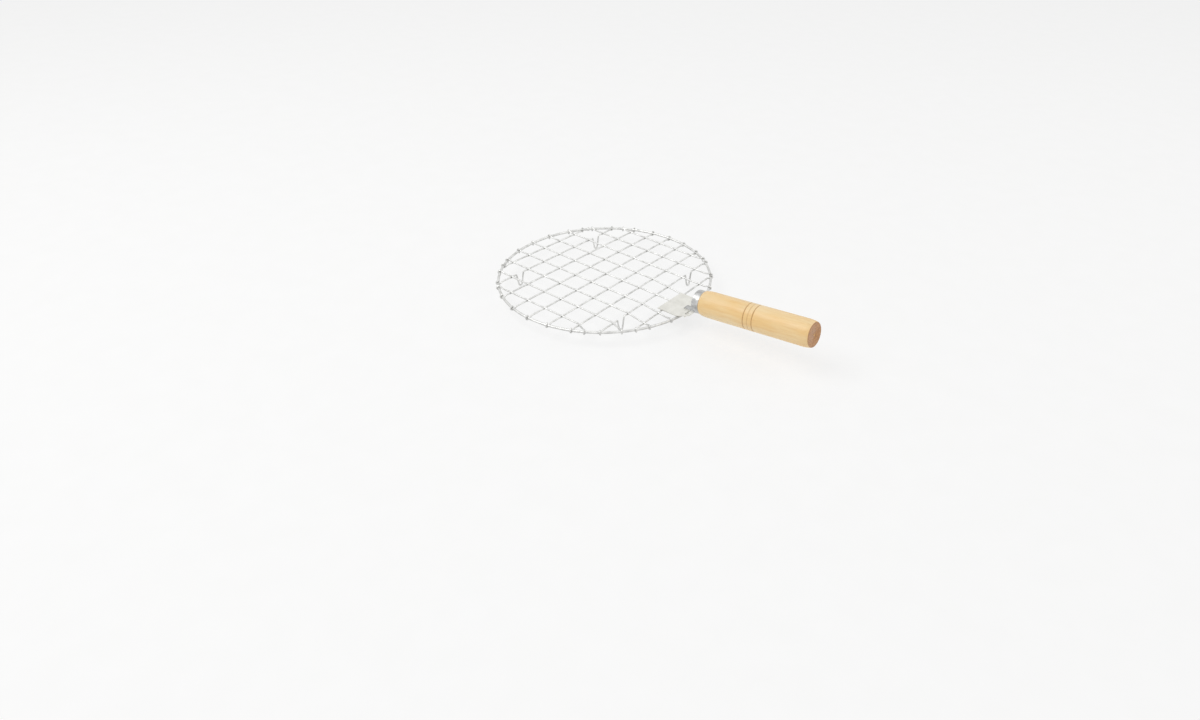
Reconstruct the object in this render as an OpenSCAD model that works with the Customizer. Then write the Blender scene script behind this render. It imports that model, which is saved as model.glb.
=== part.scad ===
// Round wire roasting rack: a square mesh hooked over a wire hoop, four bent wire feet,
// a sheet bracket with tabs that hold the hoop, and a turned wooden handle in a cap ferrule.
// X runs along the handle, Z is up, and the rack stands on Z = 0.

/* [Hoop and mesh] */
// Radius of the hoop, to the middle of its wire
hoop_r = 100; // [90:1:115]
// Wire diameter of the hoop
hoop_d = 2.4; // [2:0.1:3]
// Wire diameter of the mesh
wire_d = 1.5; // [1.2:0.1:1.6]
// Distance between neighbouring mesh wires
pitch = 20.5; // [20:0.1:20.6]
// How far the middle lengthways wire lies to the left of the handle's axis
long_shift = 2.5; // [2:0.1:3]
// How far the middle crossways wire lies beyond the hoop's centre, towards the handle
cross_shift = -1.8; // [-3:0.1:-1]
// Radius of the weld bead that closes the hoop
weld_r = 1.9; // [1.5:0.1:2.2]
// Where the weld bead lies on the hoop, counted round from the handle
weld_angle = 142; // [140:1:146]

/* [Feet] */
// Height of the hoop's centre above the surface that the rack stands on
stand_h = 13.8; // [12:0.1:16]
// Distance between the tops of a foot's two legs
foot_w = 9; // [7:0.5:11]
// Bend radius of the wire at the bottom of a foot
sole_r = 2.2; // [2:0.1:2.6]

/* [Bracket] */
// Sheet thickness of the bracket
sheet_t = 0.8; // [0.6:0.1:0.8]
// Distance from the hoop's centre to the plate's inner edge
plate_x = 77.5; // [76:0.5:77.5]
// Width of the plate on the mesh
plate_w = 34.5; // [33:0.5:36]
// Distance from the hoop's centre to the plate's front edge
nose_x = 107; // [106.6:0.1:107.4]
// Width of the plate's front edge
nose_w = 19; // [16:1:20]
// Distance between the two tabs, which is the width of the strip that carries the tongue
tab_gap = 6.8; // [6:0.2:8]
// Width of a tab, which is bent down out of its slot in the plate
tab_w = 7; // [5:0.5:7]
// Length of the slot that a tab leaves
slot_l = 3.6; // [3:0.2:3.8]

/* [Ferrule and nail] */
// Outer diameter of the ferrule
ferrule_d = 21; // [20:0.5:22]
// Depth of the ferrule, from its closed front to the handle's shoulder
ferrule_l = 6.8; // [6:0.2:9]
// Wall of the ferrule
ferrule_t = 0.7; // [0.5:0.1:0.8]
// Distance from the hoop's centre to the ferrule's front
ferrule_x = 109.5; // [108.5:0.5:112]
// Width of the ferrule's tongue, which is welded to the plate
tongue_w = 6; // [5:0.5:6]
// Diameter of the nail's shank
nail_d = 2; // [1.6:0.1:2.4]
// Length of the nail under its head
nail_l = 30; // [20:1:40]

/* [Handle] */
// Length of the handle, from its shoulder to its butt
handle_l = 110.8; // [100:0.2:130]
// Diameter of the handle beside the ferrule
front_d = 23.6; // [22.6:0.2:25]
// Diameter of the handle beside the butt
butt_d = 23.9; // [22.6:0.1:26]
// Diameter of the flat face at each end
face_d = 21.8; // [21:0.2:22.2]
// Length over which each end is rounded
round_l = 8; // [5:1:10]
// Angle at which the handle rises from the mesh
handle_tilt = 6.5; // [5:0.5:7]
// Distance from the shoulder to the middle one of three turned grooves
groove_at = 52.4; // [40:0.2:60]
// Distance between neighbouring grooves
groove_pitch = 4.4; // [3:0.2:6]
// Depth of a groove
groove_depth = 0.5; // [0.3:0.1:0.8]
// Diameter of the hanging hole in the butt
hang_d = 2; // [1.6:0.2:3]
// Depth of the hanging hole
hang_l = 18; // [12:1:24]

/* [Hidden] */
$fn = 48;

// Play between two pieces that touch
play = 0.03;
// Wires are counted from the left and from the back, and this is the middle one
middle = 5;
// The crossways wires that are bent into feet
foot_wires = [2, 8];
// A foot stands halfway between lengthways wires 2 and 3, and another between 7 and 8
foot_y = [long_shift - 2.5 * pitch, long_shift + 2.5 * pitch];
// Lengthways wires lie on the crossways ones, so each layer is half a wire off the hoop's plane
layer_z = wire_d / 2 + play / 2;
// A wire's end bends round the hoop at this radius
hook_r = hoop_d / 2 + wire_d / 2 + play;
// The hook starts where its circle reaches the layer's height
hook_start = asin(layer_z / hook_r);
hook_sweep = 270;
// Distance from the hoop's centre at which a straight wire meets its hook
reach = hoop_r - hook_r * cos(hook_start);
// The ball at a joint in a wire is a little larger than the wire
knuckle_d = wire_d + 0.1;
// The lengthways wire under the plate is cut off just short of the hoop
cut_gap = 2;
cut_x = hoop_r - hoop_d / 2 - cut_gap;

// The plate lies on the lengthways wires
plate_z = layer_z + wire_d / 2 + play;
// Its sides run parallel to the handle almost as far as the hoop, then turn in twice
corner_in = 2;
shoulder_out = 4;
shoulder_more = 6;
corner_x = hoop_r - corner_in;
shoulder_x = hoop_r + shoulder_out;
shoulder_w = nose_w + shoulder_more;
// The slots start just outside the hoop, and a tab ends level with the hoop's underside
slot_gap = 0.2;
slot_x = hoop_r + hoop_d / 2 + slot_gap;
tab_r = 0.4;
tab_low = -hoop_d / 2;

// The ferrule's lower edge is level with the top of its tongue
ferrule_r = ferrule_d / 2;
axis_z = plate_z + sheet_t + ferrule_t + ferrule_r * cos(handle_tilt);
// The tongue reaches back over the hoop
tongue_over = 4;
tongue_x = hoop_r - tongue_over;
nail_head_d = 4.4;
nail_head_t = 0.9;
nail_tip_l = 3;
nail_tip_d = 0.2;
// A bore is cut this far past the face that it opens in
past = 1;
spigot_d = ferrule_d - 2 * ferrule_t - 2 * play;

// Length from the ferrule's front to the handle's butt
butt_s = ferrule_l + handle_l;
// The whole box, from the hook at the back to the lower edge of the butt's face
box_back = -(hoop_r + hook_r) * cos(asin(long_shift / reach)) - wire_d / 2;
box_front = ferrule_x + butt_s * cos(handle_tilt) + face_d / 2 * sin(handle_tilt);
hoop_x = -(box_back + box_front) / 2;

// Offset of wire n from the hoop's centre, counted from the left or from the back
function long_y(n) = long_shift + (middle - n) * pitch;
function cross_x(n) = cross_shift + (n - middle) * pitch;
// Half length of a wire at this offset, between the points where it meets its hooks
function run(offset) = sqrt(reach * reach - offset * offset);

// Every sub-part is drawn about the hoop's centre and stands on its feet
module place() {
    translate([hoop_x, 0, stand_h]) children();
}

// A straight round bar from p to q
module bar(p, q, d) {
    v = q - p;
    translate(p) rotate([0, acos(v.z / norm(v)), atan2(v.y, v.x)]) cylinder(d = d, h = norm(v));
}

// A bend of the mesh wire in the plane of its X and Y, from its X axis through the given angle
module bend(r, angle) {
    rotate_extrude(angle = angle) translate([r, 0]) circle(d = wire_d);
}

// The rounded joint between two lengths of a wire
module knuckle(at) {
    translate(at) sphere(d = knuckle_d);
}

// The end of a wire, hooked round the hoop from above (side = 1) or from below (side = -1)
module hook(at, side) {
    turn = atan2(at.y, at.x);
    mirror([0, 0, side < 0 ? 1 : 0])
        rotate([0, 0, turn]) translate([hoop_r, 0, 0])
            rotate([90, 0, 180]) rotate([0, 0, hook_start]) bend(hook_r, hook_sweep);
    knuckle(at);
}

// A lengthways wire, cut off short of the hoop where it ends under the plate
module long_wire(n) {
    y = long_y(n);
    under_plate = abs(y) < plate_w / 2;
    back = [-run(y), y, layer_z];
    front = [under_plate ? cut_x : run(y), y, layer_z];
    color("gainsboro") place() {
        hook(back, 1);
        bar(back, front, wire_d);
        if (!under_plate) hook(front, 1);
    }
}

// The sole's centre lies this far below the wire, and each leg touches the sole's arc
sole_z = sole_r + wire_d / 2 - stand_h + layer_z;
leg_slant = atan2(foot_w / 2, -sole_z) - asin(sole_r / norm([foot_w / 2, sole_z]));

// A foot, drawn about the wire it is bent from: two legs, and the sole between them
module foot() {
    for (side = [-1, 1]) {
        top = [0, side * foot_w / 2, 0];
        low = [0, side * sole_r * cos(leg_slant), sole_z - sole_r * sin(leg_slant)];
        knuckle(top);
        bar(low, top, wire_d);
        knuckle(low);
    }
    translate([0, 0, sole_z]) rotate([90, 0, 90]) rotate([0, 0, 180 + leg_slant])
        bend(sole_r, 180 - 2 * leg_slant);
}

// A crossways wire, with two feet where it is one of the footed wires
module cross_wire(n) {
    x = cross_x(n);
    end_y = run(x);
    footed = len(search(n, foot_wires)) > 0;
    stops = footed
        ? [-end_y, foot_y[0] - foot_w / 2, foot_y[0] + foot_w / 2,
           foot_y[1] - foot_w / 2, foot_y[1] + foot_w / 2, end_y]
        : [-end_y, end_y];
    color("gainsboro") place() {
        for (side = [-1, 1]) hook([x, side * end_y, -layer_z], -1);
        for (i = [0 : 2 : len(stops) - 1])
            bar([x, stops[i], -layer_z], [x, stops[i + 1], -layer_z], wire_d);
        if (footed) for (y = foot_y) translate([x, y, -layer_z]) foot();
    }
}

// The hoop, with the bead of the weld that closes it
module hoop() {
    color("silver") place() {
        rotate_extrude() translate([hoop_r, 0]) circle(d = hoop_d);
        rotate([0, 0, weld_angle]) translate([hoop_r, 0, 0]) sphere(r = weld_r);
    }
}

// One sheet: a plate on the mesh, with two tabs bent down out of it outside the hoop
module bracket() {
    half = plate_w / 2;
    shoulder = shoulder_w / 2;
    nose = nose_w / 2;
    tab_y = (tab_gap + tab_w) / 2;
    bend_z = plate_z - tab_r;
    color("lightgray") place() {
        translate([0, 0, plate_z]) linear_extrude(sheet_t) difference() {
            polygon([
                [plate_x, -half], [corner_x, -half], [shoulder_x, -shoulder], [nose_x, -nose],
                [nose_x, nose], [shoulder_x, shoulder], [corner_x, half], [plate_x, half]
            ]);
            for (side = [-1, 1])
                translate([slot_x, side * tab_y - tab_w / 2]) square([slot_l, tab_w]);
        }
        for (side = [-1, 1])
            translate([slot_x, side * tab_y, 0]) rotate([90, 0, 0])
                linear_extrude(tab_w, center = true) {
                    translate([0, bend_z]) intersection() {
                        difference() {
                            circle(r = tab_r + sheet_t);
                            circle(r = tab_r);
                        }
                        square(tab_r + sheet_t);
                    }
                    translate([tab_r, tab_low]) square([sheet_t, bend_z - tab_low]);
                }
    }
}

// Turns the Z axis onto the handle's axis, from the centre of the ferrule's front
module on_axis() {
    translate([ferrule_x, 0, axis_z]) rotate([0, 90 - handle_tilt, 0]) children();
}

// A cap with a closed front, and a tongue that runs from its lower edge onto the plate
module ferrule() {
    low_x = ferrule_x + ferrule_r * sin(handle_tilt);
    low_z = axis_z - ferrule_r * cos(handle_tilt);
    tongue_top = plate_z + sheet_t + play + ferrule_t;
    meet_x = low_x - (low_z - tongue_top + ferrule_t) / tan(handle_tilt);
    // the tongue is drawn this far into the cap, so that the two are one solid
    bite = 1;
    end_x = low_x + bite;
    end_z = low_z + bite * tan(handle_tilt);
    color("darkgray") place() {
        on_axis() difference() {
            cylinder(r = ferrule_r, h = ferrule_l);
            translate([0, 0, ferrule_t]) cylinder(r = ferrule_r - ferrule_t, h = ferrule_l);
            translate([0, 0, -past]) cylinder(d = nail_d + 2 * play, h = ferrule_l);
        }
        rotate([90, 0, 0]) linear_extrude(tongue_w, center = true) polygon([
            [tongue_x, tongue_top - ferrule_t], [meet_x, tongue_top - ferrule_t],
            [end_x, end_z], [end_x, end_z + ferrule_t],
            [meet_x, tongue_top], [tongue_x, tongue_top]
        ]);
    }
}

// A flat-headed nail, driven through the ferrule's front into the handle
module nail() {
    color("silver") place() on_axis() {
        translate([0, 0, -nail_head_t - play]) cylinder(d = nail_head_d, h = nail_head_t);
        translate([0, 0, -nail_head_t / 2]) cylinder(d = nail_d, h = nail_l - nail_tip_l + nail_head_t / 2);
        translate([0, 0, nail_l - nail_tip_l]) cylinder(d1 = nail_d, d2 = nail_tip_d, h = nail_tip_l);
    }
}

// Radius of the handle at a distance s from its shoulder, before its ends are rounded
function side_r(s) = front_d / 2 + (butt_d - front_d) / 2 * s / handle_l;
// An end is rounded with one arc that leaves the side at round_l from the face
function round_r(s, side) = let(
        drop = side - face_d / 2,
        r = (round_l * round_l + drop * drop) / (2 * drop),
        t = round_l - s
    ) side - r + sqrt(r * r - t * t);

// The turned handle: a spigot in the ferrule, rounded ends, three grooves and a hanging hole
module handle() {
    steps = 5;
    groove_w = 1.2;
    grooves = [for (i = [-1 : 1]) groove_at + i * groove_pitch];
    outline = [
        [0, 0], [spigot_d / 2, 0], [spigot_d / 2, ferrule_l - ferrule_t - play],
        for (i = [0 : steps]) let(s = round_l * i / steps)
            [round_r(s, side_r(round_l)), ferrule_l - ferrule_t - play + s],
        for (g = grooves, k = [-1 : 1])
            [side_r(g) - (k == 0 ? groove_depth : 0), ferrule_l - ferrule_t - play + g + k * groove_w / 2],
        for (i = [steps : -1 : 0]) let(s = round_l * i / steps)
            [round_r(s, side_r(handle_l - round_l)), butt_s - ferrule_t - play - s],
        [0, butt_s - ferrule_t - play]
    ];
    color("burlywood") place() on_axis() translate([0, 0, ferrule_t + play]) difference() {
        rotate_extrude() polygon(outline);
        translate([0, 0, -past]) cylinder(d = nail_d + 2 * play, h = nail_l + past);
        translate([0, 0, butt_s - ferrule_t - play - hang_l]) cylinder(d = hang_d, h = hang_l + past);
    }
}

hoop();
long_wire(1);  // long_wire_1
long_wire(2);  // long_wire_2
long_wire(3);  // long_wire_3
long_wire(4);  // long_wire_4
long_wire(5);  // long_wire_5
long_wire(6);  // long_wire_6
long_wire(7);  // long_wire_7
long_wire(8);  // long_wire_8
long_wire(9);  // long_wire_9
cross_wire(1);  // cross_wire_1
cross_wire(2);  // cross_wire_2
cross_wire(3);  // cross_wire_3
cross_wire(4);  // cross_wire_4
cross_wire(5);  // cross_wire_5
cross_wire(6);  // cross_wire_6
cross_wire(7);  // cross_wire_7
cross_wire(8);  // cross_wire_8
cross_wire(9);  // cross_wire_9
bracket();
ferrule();
nail();
handle();
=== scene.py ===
import math

import bpy
from mathutils import Matrix, Vector


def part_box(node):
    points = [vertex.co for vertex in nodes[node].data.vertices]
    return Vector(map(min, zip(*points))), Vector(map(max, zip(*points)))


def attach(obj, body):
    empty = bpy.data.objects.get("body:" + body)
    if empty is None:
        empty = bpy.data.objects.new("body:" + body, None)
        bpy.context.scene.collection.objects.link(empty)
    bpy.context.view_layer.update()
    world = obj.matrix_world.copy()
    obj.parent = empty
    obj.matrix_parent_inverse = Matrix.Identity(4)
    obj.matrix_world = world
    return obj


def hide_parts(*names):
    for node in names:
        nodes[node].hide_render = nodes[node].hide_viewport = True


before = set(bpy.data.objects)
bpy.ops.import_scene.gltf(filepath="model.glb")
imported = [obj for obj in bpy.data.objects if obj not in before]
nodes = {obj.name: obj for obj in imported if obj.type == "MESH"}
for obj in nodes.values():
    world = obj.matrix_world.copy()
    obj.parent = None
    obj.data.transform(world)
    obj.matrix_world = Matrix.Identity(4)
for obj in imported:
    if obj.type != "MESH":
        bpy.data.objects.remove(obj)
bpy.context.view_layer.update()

mm = 0.001
hoopLow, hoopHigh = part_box("hoop")
hoopCentre = (hoopLow + hoopHigh) / 2   # the mesh lies in the hoop's plane


def linear(code):
    parts = [int(code[i:i + 2], 16) / 255 for i in (1, 3, 5)]
    return tuple(c / 12.92 if c <= 0.04045 else ((c + 0.055) / 1.055) ** 2.4 for c in parts) + (1.0,)


def addNode(tree, kind, inputs=None, **settings):
    node = tree.nodes.new(kind)
    for key, value in settings.items():
        setattr(node, key, value)
    for key, value in (inputs or {}).items():
        if isinstance(value, bpy.types.NodeSocket):
            tree.links.new(value, node.inputs[key])
        else:
            node.inputs[key].default_value = value
    return node


def newMaterial(name):
    material = bpy.data.materials.new(name)
    material.use_nodes = True
    material.node_tree.nodes.clear()
    return material, material.node_tree


def finishMaterial(tree, shader):
    addNode(tree, "ShaderNodeOutputMaterial", {"Surface": shader.outputs[0]})


# Bright metals: each has a light and a dark tint, worn in patches, and fine scratches or grit.
steels = {
    # drawn low-carbon wire with a bright zinc finish: grey-white, with faint dull patches
    "drawnZincedWire": {"light": "#E2E2E0", "dark": "#C6C6C4", "rough": (0.38, 0.5),
                        "patch": 5.0, "grit": 0.6, "bump": 0.004},
    # tinned sheet, flat and soft in its shine
    "tinnedSheet": {"light": "#E6E5DF", "dark": "#DBDAD4", "rough": (0.42, 0.52),
                    "patch": 6.0, "grit": 0.35, "bump": 0.012},
    # pressed sheet, greyer, drawn in the press
    "pressedSheet": {"light": "#CFCFCE", "dark": "#ABABAA", "rough": (0.30, 0.46),
                     "patch": 4.0, "grit": 0.30, "bump": 0.014},
    # plain wire nail
    "nailWire": {"light": "#BDBDBB", "dark": "#8E8E8C", "rough": (0.36, 0.52),
                 "patch": 1.5, "grit": 0.25, "bump": 0.012},
}


def makeSteel(name):
    look = steels[name]
    material, tree = newMaterial(name)
    place = addNode(tree, "ShaderNodeTexCoord").outputs["Object"]
    patches = addNode(tree, "ShaderNodeTexNoise",
                      {"Vector": place, "Scale": 1 / (look["patch"] * mm), "Detail": 4.0})
    grit = addNode(tree, "ShaderNodeTexNoise",
                   {"Vector": place, "Scale": 1 / (look["grit"] * mm), "Detail": 2.0})
    wear = addNode(tree, "ShaderNodeMapRange",
                   {"Value": patches.outputs["Fac"], "From Min": 0.35, "From Max": 0.65})
    tint = addNode(tree, "ShaderNodeMixRGB",
                   {"Fac": wear.outputs[0], "Color1": linear(look["light"]), "Color2": linear(look["dark"])})
    rough = addNode(tree, "ShaderNodeMapRange",
                    {"Value": patches.outputs["Fac"], "From Min": 0.3, "From Max": 0.7,
                     "To Min": look["rough"][0], "To Max": look["rough"][1]})
    bump = addNode(tree, "ShaderNodeBump",
                   {"Height": grit.outputs["Fac"], "Strength": 0.5, "Distance": look["bump"] * mm})
    shader = addNode(tree, "ShaderNodeBsdfPrincipled",
                     {"Base Color": tint.outputs[0], "Metallic": 1.0, "Roughness": rough.outputs[0],
                      "Normal": bump.outputs[0]})
    finishMaterial(tree, shader)
    return material


steelOf = {name: makeSteel(name) for name in steels}
print("steels made")

# The mesh: two layers of wire, crimped where they cross, each end hooked round the hoop. In mm.
meshWires = {
    "hoopRadius": 100, "hoopWire": 2.4, "wire": 1.5, "play": 0.03,
    "pitch": 20.5, "longShift": 2.5, "crossShift": -1.8,
    "fan": 0.00055,           # the crossways wires spread a little towards the right-hand side
    "lean": 5.0,              # the lengthways wires lean to the right beside the handle
    "plateHalf": 17.25, "cutShort": 3.2,
    "restLong": 0.35, "restCross": 0.0, "crimpHalf": 3.4,
    "hookFrom": 55, "hookTo": 292, "approach": 3.4,
    "sides": 10, "step": 0.5, "softenRounds": 5,
}
feet = {"width": 9.0, "soleRadius": 2.2, "onWires": (2, 8), "soleSteps": 8}
w = meshWires
layerHeight = (w["wire"] + w["play"]) / 2
hookRadius = (w["hoopWire"] + w["wire"]) / 2 + w["play"]
reach = w["hoopRadius"] - hookRadius * math.cos(math.radians(w["hookFrom"]))
middle = 5


def longStart(n):
    return w["longShift"] + (middle - n) * w["pitch"]


def crossStart(n):
    return w["crossShift"] + (n - middle) * w["pitch"]


def longEnd(n):
    if n == 4:
        return w["plateHalf"] - w["wire"]
    return longStart(n) - (w["lean"] if n > middle else 0)


def kneeX(n):
    return crossStart(7 if n in (4, 9) else 8)


def frontX(n):
    y = longEnd(n)
    if abs(y) < w["plateHalf"]:
        return w["hoopRadius"] - w["cutShort"]
    return math.sqrt(reach ** 2 - y ** 2)


def longY(n, x):
    part = (x - kneeX(n)) / (frontX(n) - kneeX(n))
    return longStart(n) + (longEnd(n) - longStart(n)) * min(max(part, 0), 1)


def crossX(n, y):
    return crossStart(n) * (1 - w["fan"] * y)


def crimp(at, crossings, rest):
    near = min(abs(at - c) for c in crossings)
    swell = (1 + math.cos(math.pi * min(near / w["crimpHalf"], 1))) / 2
    return rest + (layerHeight - rest) * swell


def hookPoints(end, side):
    outward = Vector((end[0], end[1], 0)).normalized()
    points = []
    for degrees in range(w["hookFrom"], w["hookTo"], 9):
        angle = math.radians(degrees)
        out = w["hoopRadius"] - hookRadius * math.cos(angle)
        points.append(outward * out + Vector((0, 0, side * hookRadius * math.sin(angle))))
    return points


def between(low, high, step=0.8):
    count = max(1, round((high - low) / step))
    return [low + (high - low) * i / count for i in range(count + 1)]


def longPath(n):
    crossings = [crossX(k, longY(n, crossStart(k))) for k in range(1, 10)]
    backX = -math.sqrt(reach ** 2 - longStart(n) ** 2)
    hooked = abs(longEnd(n)) >= w["plateHalf"]
    last = frontX(n) - (w["approach"] if hooked else 0)
    points = hookPoints((backX, longStart(n)), 1)[::-1]
    for x in between(backX + w["approach"], last):
        points.append(Vector((x, longY(n, x), crimp(x, crossings, w["restLong"]))))
    if hooked:
        points += hookPoints((frontX(n), longEnd(n)), 1)
    return points


def footPoints(n, y, height):
    half, sole = feet["width"] / 2, feet["soleRadius"]
    floorZ = -hoopCentre.z / mm + w["wire"] / 2
    soleZ = floorZ + sole
    slant = math.atan2(half, height - soleZ) - math.asin(sole / math.hypot(half, height - soleZ))
    x = crossX(n, y)
    points = [Vector((x, y - half, height))]
    for i in range(feet["soleSteps"] + 1):
        turn = (math.pi / 2 - slant) * (2 * i / feet["soleSteps"] - 1)
        points.append(Vector((x, y + sole * math.sin(turn), soleZ - sole * math.cos(turn))))
    return points + [Vector((x, y + half, height))]


def crossPath(n):
    crossings = [longY(k, crossStart(n)) for k in range(1, 10) if abs(crossStart(n)) < frontX(k) + 5]
    ends = [crossStart(n)] * 2
    farY = [0, 0]
    for i, side in enumerate((-1, 1)):
        y = side * math.sqrt(reach ** 2 - crossStart(n) ** 2)
        ends[i] = crossX(n, y)
        farY[i] = side * math.sqrt(reach ** 2 - ends[i] ** 2)
    footYs = [w["longShift"] + s * 2.5 * w["pitch"] for s in (-1, 1)] if n in feet["onWires"] else []
    points = hookPoints((ends[0], farY[0]), -1)[::-1]
    standing = list(footYs)
    for y in between(farY[0] + w["approach"], farY[1] - w["approach"]):
        height = -crimp(y, crossings, w["restCross"])
        if standing and y > standing[0] - feet["width"] / 2:
            points += footPoints(n, standing.pop(0), height)
        if all(abs(y - f) > feet["width"] / 2 + 0.4 for f in footYs):
            points.append(Vector((crossX(n, y), y, height)))
    return points + hookPoints((ends[1], farY[1]), -1)


def softened(points):
    # equal steps along the path, then each point moves towards its neighbours, as wire rounds a bend
    spans = [(b - a).length for a, b in zip(points, points[1:])]
    count = round(sum(spans) / w["step"])
    even, passed, i = [], 0.0, 0
    for k in range(count + 1):
        target = sum(spans) * k / count
        while i < len(spans) - 1 and passed + spans[i] < target:
            passed += spans[i]
            i += 1
        even.append(points[i].lerp(points[i + 1], min((target - passed) / spans[i], 1)))
    for _ in range(w["softenRounds"]):
        inner = [(a + b * 2 + c) / 4 for a, b, c in zip(even, even[1:], even[2:])]
        even = [even[0], *inner, even[-1]]
    return even


def makeWireTree():
    # Path -> round wire with closed ends
    tree = bpy.data.node_groups.new("wireAlongPath", "GeometryNodeTree")
    face = tree.interface
    face.new_socket(name="Path", in_out="INPUT", socket_type="NodeSocketGeometry")
    face.new_socket(name="Wire radius", in_out="INPUT", socket_type="NodeSocketFloat")
    face.new_socket(name="Sides", in_out="INPUT", socket_type="NodeSocketInt")
    face.new_socket(name="Finish", in_out="INPUT", socket_type="NodeSocketMaterial")
    face.new_socket(name="Wire", in_out="OUTPUT", socket_type="NodeSocketGeometry")
    given = addNode(tree, "NodeGroupInput").outputs
    curve = addNode(tree, "GeometryNodeMeshToCurve", {"Mesh": given["Path"]})
    ring = addNode(tree, "GeometryNodeCurvePrimitiveCircle",
                   {"Resolution": given["Sides"], "Radius": given["Wire radius"]})
    skin = addNode(tree, "GeometryNodeCurveToMesh",
                   {"Curve": curve.outputs[0], "Profile Curve": ring.outputs[0], "Fill Caps": True})
    smooth = addNode(tree, "GeometryNodeSetShadeSmooth", {"Geometry": skin.outputs[0]})
    real = addNode(tree, "GeometryNodeRealizeInstances", {"Geometry": smooth.outputs[0]})
    coated = addNode(tree, "GeometryNodeSetMaterial",
                     {"Geometry": real.outputs[0], "Material": given["Finish"]})
    addNode(tree, "NodeGroupOutput", {"Wire": coated.outputs[0]})
    return tree


wireTree = makeWireTree()


def makeWire(name, points, node):
    mesh = bpy.data.meshes.new(name)
    places = [hoopCentre + p * mm for p in points]
    mesh.from_pydata(places, [(i, i + 1) for i in range(len(places) - 1)], [])
    piece = bpy.data.objects.new(name, mesh)
    bpy.context.scene.collection.objects.link(piece)
    modifier = piece.modifiers.new("wire", "NODES")
    modifier.node_group = wireTree
    values = {"Wire radius": w["wire"] / 2 * mm, "Sides": w["sides"], "Finish": steelOf["drawnZincedWire"]}
    for item in wireTree.interface.items_tree:
        if item.in_out == "INPUT" and item.name in values:
            modifier[item.identifier] = values[item.name]
    seen = piece.evaluated_get(bpy.context.evaluated_depsgraph_get())
    solid = bpy.data.meshes.new_from_object(seen)
    piece.modifiers.clear()
    piece.data = solid
    solid.name = name
    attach(piece, "root")
    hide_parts(node)
    return piece


for n in range(1, 10):
    makeWire(f"longCrimpedWire{n}", softened(longPath(n)), f"long_wire_{n}")
    makeWire(f"crossCrimpedWire{n}", softened(crossPath(n)), f"cross_wire_{n}")
print("mesh wires made")

# The turned handle, from the ferrule's closed front along its own axis. In mm.
handle = {
    "tilt": 6.5, "front": 109.5, "ferruleRadius": 10.5, "ferruleWall": 0.7, "ferruleDepth": 6.8,
    "length": 110.8, "frontRadius": 11.8, "buttRadius": 11.95, "faceRadius": 10.9, "rounding": 8.0,
    "grooves": (48.0, 52.4, 56.8), "grooveDepths": (0.45, 0.3, 0.45), "grooveHalf": 0.75,
    "holeRadius": 1.0, "holeDepth": 18.0, "holeLip": 0.35, "edge": 0.15, "lineDepth": 0.35, "lineWidth": 0.45,
    "segments": 128, "step": 0.4,
}
h = handle
tilt = math.radians(h["tilt"])
axisStart = Vector((hoopCentre.x + h["front"] * mm, 0,
                    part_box("bracket")[1].z + (h["ferruleWall"] + h["ferruleRadius"] * math.cos(tilt)) * mm))
buttAt = h["ferruleDepth"] + h["length"]


def barrelRadius(s):
    # s counts from the shoulder; each end narrows along a flat curve
    radius = h["frontRadius"] + (h["buttRadius"] - h["frontRadius"]) * s / h["length"]
    near = min(s, h["length"] - s)
    if near < h["rounding"]:
        drop = radius - h["faceRadius"]
        radius -= drop * (1 - near / h["rounding"]) ** 2
    for at, depth in zip(h["grooves"], h["grooveDepths"]):
        away = abs(s - at) / h["grooveHalf"]
        if away < 1:
            radius -= depth * (1 + math.cos(math.pi * away)) / 2
    return radius


def handleOutline():
    spigot = h["ferruleRadius"] - h["ferruleWall"] - 0.03
    shoulder = h["ferruleDepth"]
    points = [(h["ferruleWall"] + 0.03, 0), (h["ferruleWall"] + 0.03, spigot), (shoulder, spigot),
              (shoulder, h["faceRadius"] - h["lineDepth"]), (shoulder + h["lineWidth"], h["faceRadius"])]
    count = round(h["length"] / h["step"])
    for i in range(1, count):
        s = h["length"] * i / count
        if h["lineWidth"] < s:
            points.append((shoulder + s, barrelRadius(s)))
    points += [(buttAt, h["faceRadius"] - h["edge"]),
               (buttAt, h["holeRadius"] + h["holeLip"]), (buttAt - h["holeLip"], h["holeRadius"]),
               (buttAt - h["holeDepth"], h["holeRadius"]), (buttAt - h["holeDepth"], 0)]
    return points


def lathe(name, outline, segments):
    # rings of points about the handle's axis; a point on the axis is a single pole
    along = Vector((math.cos(tilt), 0, math.sin(tilt)))
    up = Vector((-math.sin(tilt), 0, math.cos(tilt)))
    aside = Vector((0, 1, 0))
    points, rings, faces = [], [], []
    for s, radius in outline:
        count = segments if radius > 0 else 1
        rings.append(range(len(points), len(points) + count))
        for k in range(count):
            turn = 2 * math.pi * k / segments
            spoke = aside * math.cos(turn) + up * math.sin(turn)
            points.append(axisStart + (along * s + spoke * radius) * mm)
    for a, b in zip(rings, rings[1:]):
        for k in range(segments):
            m = (k + 1) % segments
            if len(a) == 1:
                faces.append((a[0], b[m], b[k]))
            elif len(b) == 1:
                faces.append((a[k], a[m], b[0]))
            else:
                faces.append((a[k], a[m], b[m], b[k]))
    mesh = bpy.data.meshes.new(name)
    mesh.from_pydata(points, [], faces)
    mesh.validate()
    mesh.shade_smooth()
    mesh.set_sharp_from_angle(angle=math.radians(50))
    piece = bpy.data.objects.new(name, mesh)
    bpy.context.scene.collection.objects.link(piece)
    return piece


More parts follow.
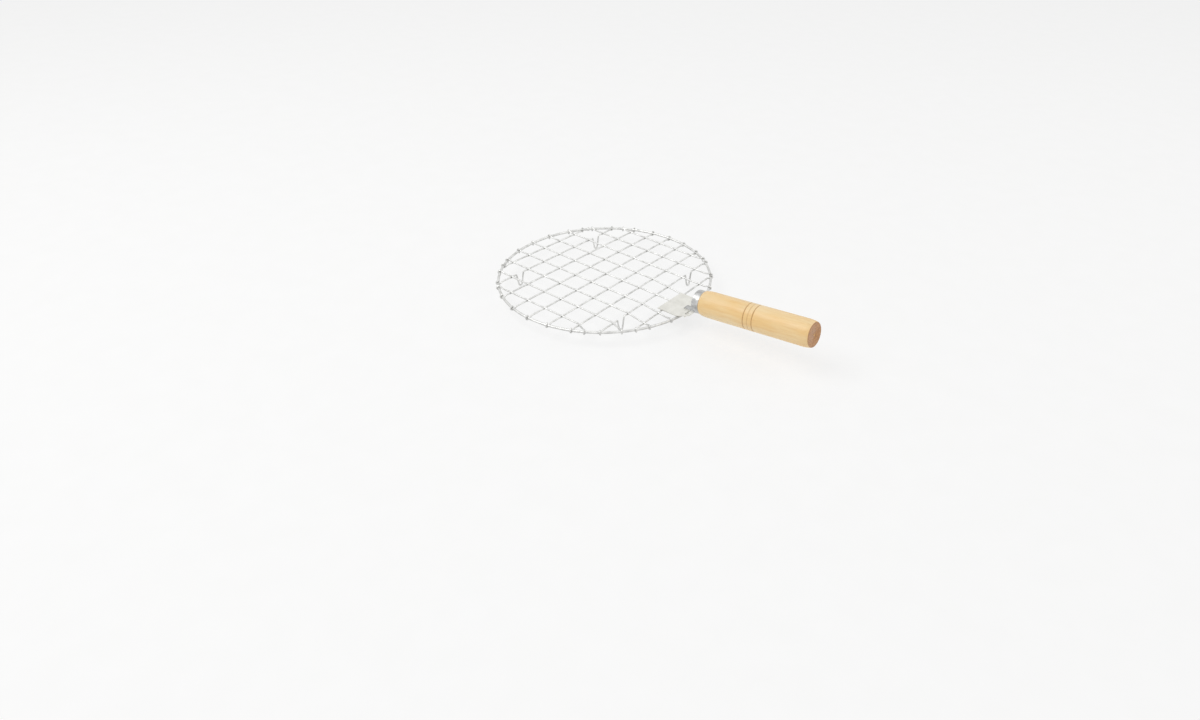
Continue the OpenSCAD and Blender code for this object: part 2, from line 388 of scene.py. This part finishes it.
# Turned pale hardwood under clear lacquer: fine grain along the handle, darker end grain,
# and a darker colour along each groove
wood = {
    "light": "#FFE6B6", "warm": "#FBD493", "vein": "#EBB976", "endLight": "#DDA56B", "endDark": "#AD7440",
    # the joint colour is painted shadow: the dark line standing in for the shade in the gap between ferrule and
    # wood
    "groove": "#B07F4B", "joint": "#6E4A2C",
    "ring": 2.6, "wobble": 3.0, "figure": 1.4, "pore": 0.45,
    "pith": (4.0, -19.0), "grooveStrength": (0.6, 0.3, 0.6),
}


def makeWood():
    material, tree = newMaterial("lacqueredTurnedHardwood")
    place = addNode(tree, "ShaderNodeTexCoord").outputs["Object"]
    axial = addNode(tree, "ShaderNodeMapping",
                    {"Vector": place, "Location": axisStart, "Rotation": (0, -tilt, 0)},
                    vector_type="TEXTURE").outputs[0]
    along = addNode(tree, "ShaderNodeSeparateXYZ", {0: axial}).outputs[0]

    def math2(kind, a, b=0.0):
        return addNode(tree, "ShaderNodeMath", {0: a, 1: b}, operation=kind).outputs[0]

    def ramp(value, low, high, toLow=0.0, toHigh=1.0):
        return addNode(tree, "ShaderNodeMapRange",
                       {"Value": value, "From Min": low, "From Max": high,
                        "To Min": toLow, "To Max": toHigh}).outputs[0]

    def stretchedNoise(size, stretch, detail):
        vector = addNode(tree, "ShaderNodeVectorMath", {0: axial, 1: (1 / stretch, 1, 1)},
                         operation="MULTIPLY").outputs[0]
        return addNode(tree, "ShaderNodeTexNoise",
                       {"Vector": vector, "Scale": 1 / (size * mm), "Detail": detail}).outputs["Fac"]

    figure = stretchedNoise(wood["figure"], 14, 5.0)
    pores = stretchedNoise(wood["pore"], 22, 2.0)
    broad = stretchedNoise(12.0, 4, 2.0)
    # growth rings round a pith that lies below the handle, so long stripes show along its side
    offset = addNode(tree, "ShaderNodeVectorMath",
                     {0: axial, 1: (0, wood["pith"][0] * mm, wood["pith"][1] * mm)},
                     operation="SUBTRACT").outputs[0]
    flat = addNode(tree, "ShaderNodeVectorMath", {0: offset, 1: (0.06, 1, 1)}, operation="MULTIPLY").outputs[0]
    distance = addNode(tree, "ShaderNodeVectorMath", {0: flat}, operation="LENGTH").outputs["Value"]
    wobbled = math2("ADD", distance, math2("MULTIPLY", broad, wood["wobble"] * mm))
    rings = ramp(math2("SINE", math2("MULTIPLY", wobbled, 2 * math.pi / (wood["ring"] * mm))), -1, 1)

    def mixed(factor, first, second):
        return addNode(tree, "ShaderNodeMixRGB",
                       {"Fac": factor, "Color1": first, "Color2": second}).outputs[0]

    base = mixed(ramp(broad, 0.35, 0.65), linear(wood["light"]), linear(wood["warm"]))
    base = mixed(math2("MULTIPLY", rings, 0.16), base, linear(wood["vein"]))
    base = mixed(ramp(figure, 0.52, 0.8, 0, 0.5), base, linear(wood["vein"]))
    base = mixed(ramp(pores, 0.6, 0.78, 0, 0.22), base, linear(wood["endDark"]))
    for at, strength in zip(h["grooves"], wood["grooveStrength"]):
        away = math2("ABSOLUTE", math2("SUBTRACT", along, (h["ferruleDepth"] + at) * mm))
        base = mixed(ramp(away, 0.2 * mm, h["grooveHalf"] * mm, strength, 0), base, linear(wood["groove"]))
    # painted shadow: a dark brown band on the wood just behind the ferrule, where the gap between wood and
    # ferrule lies in shade
    joint = ramp(along, (h["ferruleDepth"] + 0.35) * mm, (h["ferruleDepth"] + 0.9) * mm, 0.85, 0)
    base = mixed(joint, base, linear(wood["joint"]))
    mottle = stretchedNoise(0.9, 1, 4.0)
    endGrain = mixed(ramp(mottle, 0.35, 0.65), linear(wood["endLight"]), linear(wood["endDark"]))
    endGrain = mixed(math2("MULTIPLY", rings, 0.4), endGrain, linear(wood["endDark"]))
    base = mixed(ramp(along, (buttAt - 0.35) * mm, (buttAt - 0.05) * mm), base, endGrain)
    bump = addNode(tree, "ShaderNodeBump", {"Height": pores, "Strength": 0.35, "Distance": 0.03 * mm})
    shader = addNode(tree, "ShaderNodeBsdfPrincipled",
                     {"Base Color": base, "Roughness": ramp(figure, 0.3, 0.7, 0.42, 0.55),
                      "Normal": bump.outputs[0], "Coat Weight": 0.35, "Coat Roughness": 0.22})
    finishMaterial(tree, shader)
    return material


turnedHandle = lathe("turnedHandle", handleOutline(), h["segments"])
turnedHandle.data.materials.append(makeWood())
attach(turnedHandle, "root")
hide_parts("handle")
print("handle made")

finishes = {"hoop": "drawnZincedWire", "bracket": "tinnedSheet", "ferrule": "pressedSheet", "nail": "nailWire"}
for name, finish in finishes.items():
    node = nodes[name]
    if not node.material_slots:
        node.data.materials.append(steelOf[finish])
    for place in node.material_slots:
        place.material = steelOf[finish]
print("metal finishes set")

# A plain studio: white floor, white surroundings, two soft lamps
studio = {
    "floorHalf": 6.0, "floorTint": "#F4F4F2", "floorGlow": 0.72, "surroundings": 0.52,
    "lamps": (("keyLamp", (-0.55, -0.75, 1.35), 1.1, 9.0), ("fillLamp", (0.95, 0.65, 1.2), 1.3, 3.5)),
}


def seenDirectly(tree):
    path = addNode(tree, "ShaderNodeLightPath").outputs
    either = addNode(tree, "ShaderNodeMath", {0: path["Is Camera Ray"], 1: path["Is Glossy Ray"]},
                     operation="MAXIMUM").outputs[0]
    return addNode(tree, "ShaderNodeMath", {0: either, 1: path["Is Transmission Ray"]},
                   operation="MAXIMUM").outputs[0]


def makeFloor():
    half = studio["floorHalf"]
    mesh = bpy.data.meshes.new("studioFloor")
    mesh.from_pydata([(-half, -half, 0), (half, -half, 0), (half, half, 0), (-half, half, 0)], [], [(0, 1, 2, 3)])
    floor = bpy.data.objects.new("studioFloor", mesh)
    bpy.context.scene.collection.objects.link(floor)
    material, tree = newMaterial("studioPaper")
    place = addNode(tree, "ShaderNodeTexCoord").outputs["Object"]
    fibre = addNode(tree, "ShaderNodeTexNoise", {"Vector": place, "Scale": 40.0, "Detail": 3.0})
    tint = addNode(tree, "ShaderNodeMixRGB", {"Fac": fibre.outputs["Fac"], "Color1": linear(studio["floorTint"]),
                                              "Color2": (1, 1, 1, 1)})
    paper = addNode(tree, "ShaderNodeBsdfDiffuse", {"Color": tint.outputs[0]})
    glow = addNode(tree, "ShaderNodeEmission", {"Color": (1, 1, 1, 1), "Strength": 1.0})
    share = addNode(tree, "ShaderNodeMath", {0: seenDirectly(tree), 1: studio["floorGlow"]},
                    operation="MULTIPLY")
    both = addNode(tree, "ShaderNodeMixShader", {0: share.outputs[0], 1: paper.outputs[0], 2: glow.outputs[0]})
    finishMaterial(tree, both)
    mesh.materials.append(material)


def makeSurroundings():
    world = bpy.data.worlds.new("studioAir")
    bpy.context.scene.world = world
    world.use_nodes = True
    tree = world.node_tree
    tree.nodes.clear()
    level = addNode(tree, "ShaderNodeMapRange",
                    {"Value": seenDirectly(tree), "To Min": studio["surroundings"], "To Max": 1.0})
    air = addNode(tree, "ShaderNodeBackground", {"Color": (1, 1, 1, 1), "Strength": level.outputs[0]})
    addNode(tree, "ShaderNodeOutputWorld", {"Surface": air.outputs[0]})


def makeLamp(name, place, size, power):
    lamp = bpy.data.lights.new(name, "AREA")
    lamp.shape = "DISK"
    lamp.size = size
    lamp.energy = power
    holder = bpy.data.objects.new(name, lamp)
    holder.location = place
    holder.rotation_euler = (-Vector(place)).to_track_quat("-Z", "Y").to_euler()
    bpy.context.scene.collection.objects.link(holder)


makeFloor()
makeSurroundings()
for lampValues in studio["lamps"]:
    makeLamp(*lampValues)
print("studio made")

camera = {
    "azimuth": 36.03, "elevation": 31.25, "roll": 1.97, "distance": 815.8,   # degrees and mm
    "aim": (95.64, 8.50, 0),                                                # from the hoop's centre, mm
    "focal": 902, "opticalCentre": (691.1, 305.2), "image": (1200, 720),    # pixels
    "sensor": 36,
}


def makeCamera():
    around, height, roll = (math.radians(camera[k]) for k in ("azimuth", "elevation", "roll"))
    back = Vector((math.sin(around) * math.cos(height), -math.cos(around) * math.cos(height), math.sin(height)))
    right = Vector((math.cos(around), math.sin(around), 0))
    up = back.cross(right)
    right, up = (right * math.cos(roll) + up * math.sin(roll), up * math.cos(roll) - right * math.sin(roll))
    place = hoopCentre + Vector(camera["aim"]) * mm + back * camera["distance"] * mm
    width, tall = camera["image"]
    lens = bpy.data.cameras.new("camera")
    lens.sensor_width = camera["sensor"]
    lens.lens = camera["focal"] / width * camera["sensor"]
    lens.shift_x = 0.5 - camera["opticalCentre"][0] / width
    lens.shift_y = (camera["opticalCentre"][1] - tall / 2) / width
    lens.clip_start, lens.clip_end = 0.01, 50
    holder = bpy.data.objects.new("camera", lens)
    holder.matrix_world = Matrix.Translation(place) @ Matrix((right, up, back)).transposed().to_4x4()
    bpy.context.scene.collection.objects.link(holder)
    bpy.context.scene.camera = holder


makeCamera()
bpy.context.scene.view_settings.view_transform = "Standard"
print("camera made")
